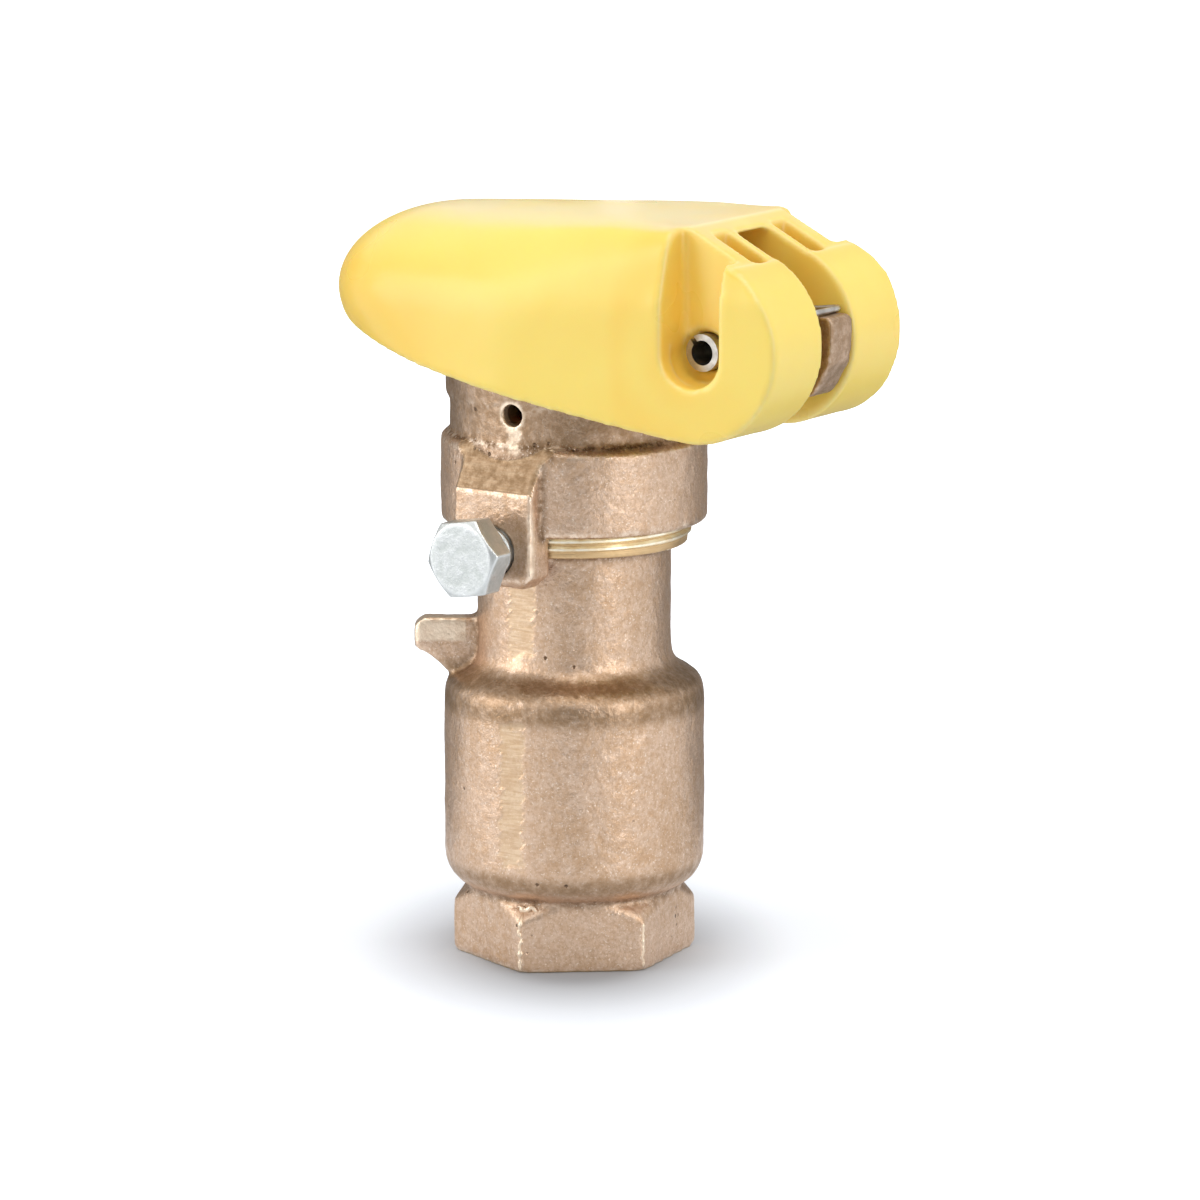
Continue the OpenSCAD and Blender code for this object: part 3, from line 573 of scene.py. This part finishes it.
def skin(node, body, material, voxel_mm, edge_rounds, face_rounds, masks, shape):
    """Replaces a CAD node with its own form as a fine mesh, with rounded edges.

    The points near sharp edges are relaxed edge_rounds times and those on open faces
    face_rounds times. masks gives the values that the material reads, and shape moves the
    points to the finish's relief.
    """
    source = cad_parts[node].data
    ridge_tree, crease_tree = sharp_edges(source, math.radians(SHARP_DEG))
    mesh = remeshed(source.copy(), voxel_mm)
    points = numbers(mesh.vertices, "co", 3)
    pairs = numbers(mesh.edges, "vertices", 2, np.int64)
    to_ridge = distances(ridge_tree, points)
    to_crease = distances(crease_tree, points)
    open_face = smoothstep(np.minimum(to_ridge, to_crease), 2.5 * voxel_mm, 6 * voxel_mm)
    points = relaxed(points, pairs, 0.5 * np.ones(len(points)), edge_rounds)
    points = relaxed(points, pairs, 0.5 * open_face, face_rounds)
    mesh.vertices.foreach_set("co", points.ravel())
    mesh.update()
    normals = numbers(mesh.vertex_normals, "vector", 3)
    stored = {"ridge": np.exp(-(to_ridge / WEAR_REACH) ** 2),
              "crease": np.exp(-(to_crease / CREASE_REACH) ** 2),
              "near_crease": smoothstep(to_crease, *SHADE_REACH)}
    stored.update(masks(points / MM, normals))
    points = shape(points / MM, normals, stored) * MM
    mesh.vertices.foreach_set("co", points.ravel())
    for name, values in stored.items():
        store(mesh, name, values)
    shade_smooth(mesh)
    mesh.update()
    piece = own_object(node + "_skin", mesh, material, body)
    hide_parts(node)


# The castings


def lower_masks(points, normals):
    radius, _ = around(points)
    level = points[:, 2]
    outside = (points * normals)[:, 0] + (points * normals)[:, 1] > 0
    bore = ~outside & (radius < KEY_WAY_R) & ((level < INLET_TOP) | (level > SEAT_Z))
    base = smoothstep(level, 0.35, 0.1) * (normals[:, 2] < -0.7)
    head = smoothstep(level, HEAD_LOW - 0.3, HEAD_LOW)
    bulb = strip(points, low=BULB_LOW, high=BULB_HIGH - 2, **BULB_BAND) * (radius > BULB_R - 1.5)
    neck = strip(points, low=NECK_LOW + 0.5, high=HEAD_LOW - 1, **NECK_BAND) * (radius < NECK_R + 1)
    stain = np.maximum.reduce([strength * hump(level, middle, half)
                               for middle, half, strength in STAIN_BANDS])
    hexagon = (level > 0.8) & (level < HEX_TOP + 5) & outside
    # Painted light: the lug's face is made paler
    lug = (radius > NECK_R + 2.5) & (level > NECK_LOW + 1) & (level < HEAD_LOW - 5)
    return {"machined": np.maximum.reduce([bore * 1.0, head, base]),
            "ground": (bulb + neck) * outside,
            "stain": stain * outside,
            "cast_hexagon": hexagon * 1.0,
            "bright": 0.9 * lug}


def lower_shape(points, normals, stored):
    radius, _ = around(points)
    stored["ridge"] *= 1 - 0.8 * stored["cast_hexagon"]
    rough = 1 - np.clip(stored["machined"] + stored["ground"], 0, 1)
    points = points + normals * (rough * layered(points, LOWER_RELIEF))[:, None]
    on_bulb = points[:, 2] < BULB_HIGH
    points = ground_flat(points, stored["ground"] * on_bulb, BULB_R, **BULB_BAND)
    points = ground_flat(points, stored["ground"] * ~on_bulb, NECK_R, **NECK_BAND)
    # The screwed head is cut down here, to carry the thread piece
    threads = (points[:, 2] > HEAD_LOW - 0.1) & (radius > HEAD_R - 1.4)
    limit = np.where(threads, (HEAD_R - 0.75) / np.maximum(radius, 1), 1)
    points[:, :2] *= np.minimum(limit, 1)[:, None]
    return points


def drain_masks(points):
    """The plain ring round the drain hole, its bright rim, and the streak below it."""
    way = heading(DRAIN_DIRECTION)
    flat = points - [0, 0, DRAIN_Z]
    from_hole = np.linalg.norm(flat - np.outer(flat @ way, way), axis=1)
    halo = smoothstep(from_hole, DRAIN_R + 0.9, DRAIN_R + 0.5) * (points @ way > 0)
    rim = smoothstep(from_hole, DRAIN_R + 0.75, DRAIN_R + 0.35) * (points @ way > RING_R - 2)
    streak = strip(points, low=RING_LOW - 1, high=DRAIN_Z - DRAIN_R + 0.5, **DRAIN_STREAK)
    return halo, rim, streak


def boss_masks(points, normals, radius):
    """The milled slope over the boss, its dent, and the boss's bright right edge."""
    across, level = points[:, 0], points[:, 2]
    slope = ((np.abs(across) < SLOPE_HALF) & (points[:, 1] < -22.4) & (radius > RING_R + 0.4)
             & (level > BOSS_EDGE_Z + 0.2) & (normals[:, 1] < -0.4) & (normals[:, 2] > 0.25))
    dent = np.exp(-((across + 2.2) / 2.6) ** 2 - ((level - BOSS_EDGE_Z - 3.2) / 1.3) ** 2)
    edge = hump(across, BOSS_EDGE_X, 0.7) * (points[:, 1] < BOSS_FACE) * hump(level, 85, 11)
    return slope, dent, edge * (0.7 + 0.6 * relief(points, 1.4, 12))


def upper_masks(points, normals):
    radius, _ = around(points)
    level = points[:, 2]
    halo, rim, streak = drain_masks(points)
    slope, dent, edge = boss_masks(points, normals, radius)

    # The turned bore, the ring's top and the collar's lower face
    bore = (radius < KEY_TRACK_R) & (level > COLLAR_LOW - 12)
    faces = ((level > RING_TOP - 0.4) & (normals[:, 2] > 0.7)
             | (normals[:, 2] < -0.8) & (level < COLLAR_LOW + 0.4))

    # A darker band at the ring's foot, and painted shade on the ring over it
    foot = hump(level, RING_LOW + 0.15, 0.9 + 0.3 * relief(points, 3.5, 9))
    foot *= (radius > RING_R - 0.7) * (radius < RING_R + 1.2) * (1 - np.clip(streak * 1.5, 0, 1))
    ring = 0.8 * (level > RING_LOW + 0.5) * (1 - np.clip(streak, 0, 1))
    # The milled slope gets painted shade, darker at its dent, through the last two values
    return {"machined": np.maximum(bore, faces & (radius < 26)) * 1.0,
            "halo": halo,
            "ground": slope * 1.0,
            "bright": np.maximum.reduce([rim, 0.8 * streak * (radius > 22), edge]),
            "foot": np.maximum(foot, slope * (0.35 + 0.5 * dent)),
            "stain": np.maximum(slope * 1.0, ring)}


def upper_shape(points, normals, stored):
    radius, direction = around(points)
    level = points[:, 2]
    rough = 1 - np.clip(stored["machined"] + stored["ground"] + stored["halo"], 0, 1)
    under_lip = (radius > 22.5) * hump(level, LIP_LOW - 0.3, 2.5)
    stored["crease"] *= 1 - 0.9 * np.maximum(under_lip, stored["halo"])
    # The foot's band and the painted shade on the milled slope darken like the creases
    stored["crease"] = np.maximum(stored["crease"], stored["foot"])
    lumps = rough * layered(points, UPPER_RELIEF)
    # At the front the lip runs out into the ring without a step
    ramp = RING_R + (LIP_R - RING_R) * smoothstep(level, LIP_LOW - 3, RING_TOP - 3)
    outer = ((radius > RING_R - 0.6) & (radius < LIP_R + 0.3)
             & (level > RING_LOW + 0.8) & (level < RING_TOP - 1.3))
    front = smoothstep(np.abs(direction - 20), 75, 55) * outer
    points[:, :2] *= (1 + front * (ramp / radius - 1))[:, None]
    return points + normals * lumps[:, None]


def closed_bar(name, rings):
    """A closed bar through rings of points, which are in millimetres."""
    width = len(rings[0])
    last = len(rings) - 1
    faces = [(i * width + k, i * width + (k + 1) % width,
              (i + 1) * width + (k + 1) % width, (i + 1) * width + k)
             for i in range(last) for k in range(width)]
    faces.append(tuple(range(width - 1, -1, -1)))
    faces.append(tuple(last * width + k for k in range(width)))
    points = [tuple(MM * value for value in point) for ring in rings for point in ring]
    mesh = bpy.data.meshes.new(name)
    mesh.from_pydata(points, [], faces)
    mesh.update()
    return mesh


def thread_section(buried, root, crest, land, pitch):
    """One turn of thread as (radius, height) points; land is the crest's half share."""
    return [(buried, -0.5 * pitch), (root, -0.46 * pitch), (crest, -land * pitch),
            (crest, land * pitch), (root, 0.46 * pitch), (buried, 0.5 * pitch)]


def helical_ridge(name, section, pitch, low, high, steps=96):
    """A thread as one closed bar, which fades out over a quarter turn at its ends."""
    turns = (high - low) / pitch
    count = int(steps * turns)
    buried = section[0][0]
    rings = []
    for i in range(count + 1):
        done = i / count * turns
        fade = min(1, 4 * done, 4 * (turns - done))
        angle = 2 * math.pi * done
        ring = []
        for radius, height in section:
            faded = buried + (radius - buried) * fade
            ring.append((faded * math.cos(angle), faded * math.sin(angle), low + pitch * done + height))
        rings.append(ring)
    return closed_bar(name, rings)


def ragged_ridge(name, path, width_mm, seed, material):
    """A thin uneven line of flash along a path of points, on the lower body."""
    sides = 7
    last = len(path) - 1
    rings = []
    for i, place in enumerate(path):
        ahead = Vector(path[min(i + 1, last)]) - Vector(path[max(i - 1, 0)])
        out = Vector((place[0], place[1], 0)).normalized()
        across = ahead.normalized().cross(out).normalized()
        wobble = 0.75 + 0.9 * noise.noise(Vector((i * 0.37, seed, 0)))
        size = width_mm * wobble * min(1, 0.25 + i / 3, 0.25 + (last - i) / 3)
        drift = 0.5 * width_mm * noise.noise(Vector((i * 0.21, seed, 4)))
        ring = []
        for k in range(sides):
            turn = 2 * math.pi * k / sides
            bit = size * (1 + 0.4 * noise.noise(Vector((i * 0.6, k * 1.3, seed))))
            ring.append(Vector(place) + across * (drift + 0.62 * bit * math.cos(turn))
                        + out * (0.5 * bit * math.sin(turn)))
        rings.append(ring)
    mesh = closed_bar(name, rings)
    shade_smooth(mesh)
    store(mesh, "bright", np.ones(len(mesh.vertices)))
    own_object(name, mesh, material, "body")


def add_threads(bronze, brass):
    """The ridges that show under the collar, and the thread in the inlet."""
    root = HEAD_R - 0.85
    section = thread_section(root - 0.3, root, HEAD_R + 0.02, 0.14, JOINT_PITCH)
    mesh = helical_ridge("joint_thread", section, JOINT_PITCH, HEAD_LOW + 0.75, COLLAR_LOW + 1.2)
    own_object("joint_thread", mesh, brass, "body")
    section = thread_section(INLET_R + 0.2, INLET_R - 0.02, INLET_R - 0.95, 0.1, INLET_PITCH)
    mesh = helical_ridge("inlet_thread", section[::-1], INLET_PITCH, *INLET_THREAD)
    own_object("inlet_thread", mesh, bronze, "body")


def add_flash(bronze):
    """Flash on two corners of the hexagon, and lumps of it above the first corner."""
    corner_r = HEX_AF / math.sqrt(3) - 0.25
    for name, (direction, low, high, width, seed) in CORNER_FLASH.items():
        path = []
        for level in np.linspace(low, high, 31):
            radius = corner_r - max(0, level - HEX_TOP) * 0.85
            path.append(tuple(radius * heading(direction) + [0, 0, level]))
        ragged_ridge(name, path, width, seed, bronze)
    path = []
    for i in range(LUMPS):
        direction = LUMPS_FROM + LUMPS_SPAN * i / (LUMPS - 1)
        level = LUMPS_Z + 0.5 * math.sin(0.9 * i)
        path.append(tuple(LUMPS_R * heading(direction) + [0, 0, level]))
    ragged_ridge("corner_lumps", path, width_mm=1.1, seed=31, material=bronze)


# The cover, the bolt and the CAD nodes that stay


def cover_masks(points, normals):
    across, level = points[:, 0], points[:, 2]
    nose = smoothstep(across, 4, -34) * smoothstep(level, COVER_TOP - 4, COVER_TOP - 16)
    # Painted sheen on the flat top, in patches
    top = smoothstep(normals[:, 2], 0.80, 0.97) * smoothstep(level, COVER_TOP - 5, COVER_TOP - 1)
    return {"nose": nose,
            "hinge": smoothstep(across, EARS_X, EARS_X + 4),
            "chalky": top * (0.75 + 0.5 * relief(points, 22.0, 6))}


def cover_shape(points, normals, stored):
    # Painted shade in the hinge's recesses and on the lower nose
    recesses = 0.7 * stored["near_crease"] * stored["hinge"]
    stored["deep"] = np.maximum(recesses, 1.4 * stored["nose"])
    return points + normals * layered(points, COVER_RELIEF)[:, None]


def bolt_masks(points, _):
    radius = np.hypot(points[:, 0], points[:, 2] - BOLT_Z)
    on_shank = (radius < BOLT_R + 0.2) & (points[:, 1] > BOLT_HEAD_Y + 0.2)
    turn = np.arctan2(points[:, 2] - BOLT_Z, points[:, 0]) / (2 * math.pi)
    wave = np.cos(2 * math.pi * (points[:, 1] / BOLT_PITCH + turn))
    return {"thread_low": on_shank * smoothstep(wave, 0.1, 0.9)}


def bolt_shape(points, _, stored):
    out = (points - [0, 0, BOLT_Z]) * [1, 0, 1]
    out /= np.maximum(np.linalg.norm(out, axis=1), 1e-6)[:, None]
    return points - out * (0.5 * stored["thread_low"])[:, None]


def finish_nodes(finishes):
    """Gives each CAD node that stays its finish, on the object's own slots."""
    for node, material in finishes.items():
        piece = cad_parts[node]
        for place in piece.material_slots:
            place.link = "OBJECT"
            place.material = material


def smooth_wire(piece):
    """Rounds a spring's wire without a change to its mesh."""
    weld = piece.modifiers.new("weld", "WELD")
    weld.merge_threshold = 1e-5
    round_wire = piece.modifiers.new("round", "SUBSURF")
    round_wire.levels = 1
    round_wire.render_levels = 2


def pressed_spring(material):
    """The valve spring, as its own copy of the CAD mesh with its wire rounded, on the body."""
    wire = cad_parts["valve_spring"].data.copy()
    piece = own_object("valve_spring_wire", wire, material, "body")
    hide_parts("valve_spring")
    smooth_wire(piece)
    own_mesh(piece)


# The stage


def standing(from_camera, distance, height):
    """A place from_camera degrees to the right of the camera, in metres, and its angle."""
    angle = VIEW_AZIMUTH + math.radians(from_camera)
    place = Vector((math.sin(angle) * distance, -math.cos(angle) * distance, height))
    return place * MM, angle


def stage_floor():
    """A floor that keeps the lamps' soft shadow, with a painted shadow round the valve, and turns to
    white farther out.
    """
    bpy.ops.mesh.primitive_plane_add(size=8, location=(0, 0, 0))
    floor = bpy.context.object
    floor.name = "floor"
    look = Finish("floor")
    look.tree.nodes.remove(look.shader)

    # Distance from the valve in millimetres, shorter along the photograph's line of sight
    turn = look.new("VectorRotate")
    turn.rotation_type = "Z_AXIS"
    look.feed(turn.inputs["Vector"], look.place)
    look.feed(turn.inputs["Angle"], -VIEW_AZIMUTH)
    far = look.vector("LENGTH", look.vector("MULTIPLY", turn.outputs[0], (1, 0.6, 1)))

    # Painted shadow: darker paint and less glow near the valve
    paint = look.new("BsdfDiffuse")
    tone = look.mix(look.step(far, 14, 32), *FLOOR)
    look.feed(paint.inputs["Color"], tone)
    path = look.new("LightPath")
    level = 0.0
    for low, high, strength in FLOOR_GLOW:
        level = look.math("ADD", level, look.times(look.step(far, low, high), strength))
    level = look.times(look.seen(path, "Camera", "Transmission"), level)
    level = look.math("ADD", level, look.times(look.seen(path, "Glossy"), FLOOR_SEEN_IN_METAL))
    glow = look.new("Emission")
    look.feed(glow.inputs["Color"], FLOOR_GLOW_TINT)
    look.feed(glow.inputs["Strength"], level)
    both = look.new("AddShader")
    look.feed(both.inputs[0], paint.outputs[0])
    look.feed(both.inputs[1], glow.outputs[0])
    look.feed(look.out.inputs["Surface"], both.outputs[0])
    floor.data.materials.append(look.material)


def stage_world():
    """White where the camera, metal or glass sees it, and a softer fill for the rest."""
    world = bpy.data.worlds.new("studio")
    bpy.context.scene.world = world
    world.use_nodes = True
    look = Nodes(world.node_tree)
    back = look.new("Background")
    clear = look.seen(look.new("LightPath"), "Camera", "Glossy", "Transmission")
    look.feed(back.inputs["Color"], (1, 1, 1))
    look.feed(back.inputs["Strength"], look.between(clear, 0.62, 1.0))
    look.feed(look.new("OutputWorld").inputs["Surface"], back.outputs[0])


def grey_card(name, from_camera, distance, width, tall, shade):
    """A card on the floor that only metal and gloss see, as a darker stripe."""
    bpy.ops.mesh.primitive_plane_add(size=1)
    card = bpy.context.object
    card.name = name
    card.location, angle = standing(from_camera, distance, tall / 2)
    card.scale = (width * MM, tall * MM, 1)
    card.rotation_euler = (math.pi / 2, 0, angle)
    look = Finish(name).set(Base_Color=(shade, shade, shade), Roughness=1.0)
    card.data.materials.append(look.material)
    card.visible_camera = False
    card.visible_diffuse = False
    card.visible_shadow = False


def soft_box(name, from_camera, distance, height, width, tall, radiance, aim_height=70):
    """A soft box that is aimed at the valve."""
    data = bpy.data.lights.new(name, "AREA")
    data.shape = "RECTANGLE"
    data.size = width * MM
    data.size_y = tall * MM
    data.energy = radiance * math.pi * data.size * data.size_y
    light = bpy.data.objects.new(name, data)
    bpy.context.scene.collection.objects.link(light)
    light.location, _ = standing(from_camera, distance, height)
    aim = Vector((0, 0, aim_height * MM)) - light.location
    light.rotation_euler = aim.to_track_quat("-Z", "Y").to_euler()
    return light


def stage_camera():
    """The photograph's camera: level, and aimed so that the axis falls on AIM_PX."""
    place, angle = standing(0, CAMERA_OUT, CAMERA_HEIGHT)
    side = Vector((math.cos(angle), math.sin(angle), 0))
    to_aim = (Vector((0, 0, AIM_HEIGHT * MM)) - place).normalized()
    up = side.cross(to_aim)
    yaw = math.atan((AIM_PX[0] - PHOTO_PX / 2) / FOCAL_PX)
    pitch = math.atan((AIM_PX[1] - PHOTO_PX / 2) / FOCAL_PX)
    turned = to_aim * math.cos(yaw) - side * math.sin(yaw)
    ahead = turned * math.cos(pitch) + up * math.sin(pitch)
    data = bpy.data.cameras.new("camera")
    data.sensor_width = SENSOR_MM
    data.lens = FOCAL_PX / PHOTO_PX * SENSOR_MM
    data.clip_start = 0.05
    camera = bpy.data.objects.new("camera", data)
    bpy.context.scene.collection.objects.link(camera)
    camera.location = place
    camera.rotation_euler = ahead.to_track_quat("-Z", "Y").to_euler()
    bpy.context.scene.camera = camera


def stage_lights():
    """Four soft boxes, and three cards that darken what the metal mirrors."""
    soft_box("left_box", from_camera=-76, distance=1100, height=340,
             width=640, tall=900, radiance=2.6)
    right_box = soft_box("right_box", from_camera=44, distance=1200, height=420,
                         width=420, tall=900, radiance=3.3)
    right_box.visible_diffuse = False
    soft_box("top_box", from_camera=10, distance=300, height=1300,
             width=1100, tall=1100, radiance=2.0)
    right_fill = soft_box("right_fill", from_camera=105, distance=900, height=260,
                          width=700, tall=600, radiance=2.3)
    right_fill.visible_glossy = False
    grey_card("front_card", from_camera=0, distance=420, width=300, tall=260, shade=0.25)
    grey_card("right_card", from_camera=140, distance=110, width=150, tall=170, shade=0.30)
    grey_card("left_card", from_camera=-148, distance=110, width=150, tall=170, shade=0.25)


bronze = cast_bronze()
brass = turned_metal("turned_brass", *BRASS, roughness=0.38)
spring_steel = turned_metal("spring_steel", *SPRING_STEEL, roughness=0.34, rings_per_mm=2.0)
steel = plated_steel()
yellow = yellow_plastic()
rubber = black_rubber()

stage_camera()
skin("lower_body", "body", bronze, voxel_mm=0.63, edge_rounds=3, face_rounds=8,
     masks=lower_masks, shape=lower_shape)
skin("upper_body", "body", bronze, voxel_mm=0.45, edge_rounds=3, face_rounds=8,
     masks=upper_masks, shape=upper_shape)
add_threads(bronze, brass)
add_flash(bronze)
skin("cover", "cover", yellow, voxel_mm=0.63, edge_rounds=4, face_rounds=40,
     masks=cover_masks, shape=cover_shape)
skin("lock_bolt", "body", steel, voxel_mm=0.22, edge_rounds=2, face_rounds=4,
     masks=bolt_masks, shape=bolt_shape)
finish_nodes({"hinge_pin": spring_steel, "cover_spring": spring_steel, "snap_ring": spring_steel,
              "key_seal": rubber, "body_o_ring": rubber, "disc_washer": rubber,
              "seal_washer": brass, "poppet": brass, "disc_plate": brass, "disc_nut": brass,
              "spring_guide": brass})
smooth_wire(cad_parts["cover_spring"])
pressed_spring(spring_steel)

stage_floor()
stage_world()
stage_lights()
bpy.context.scene.view_settings.view_transform = "Standard"
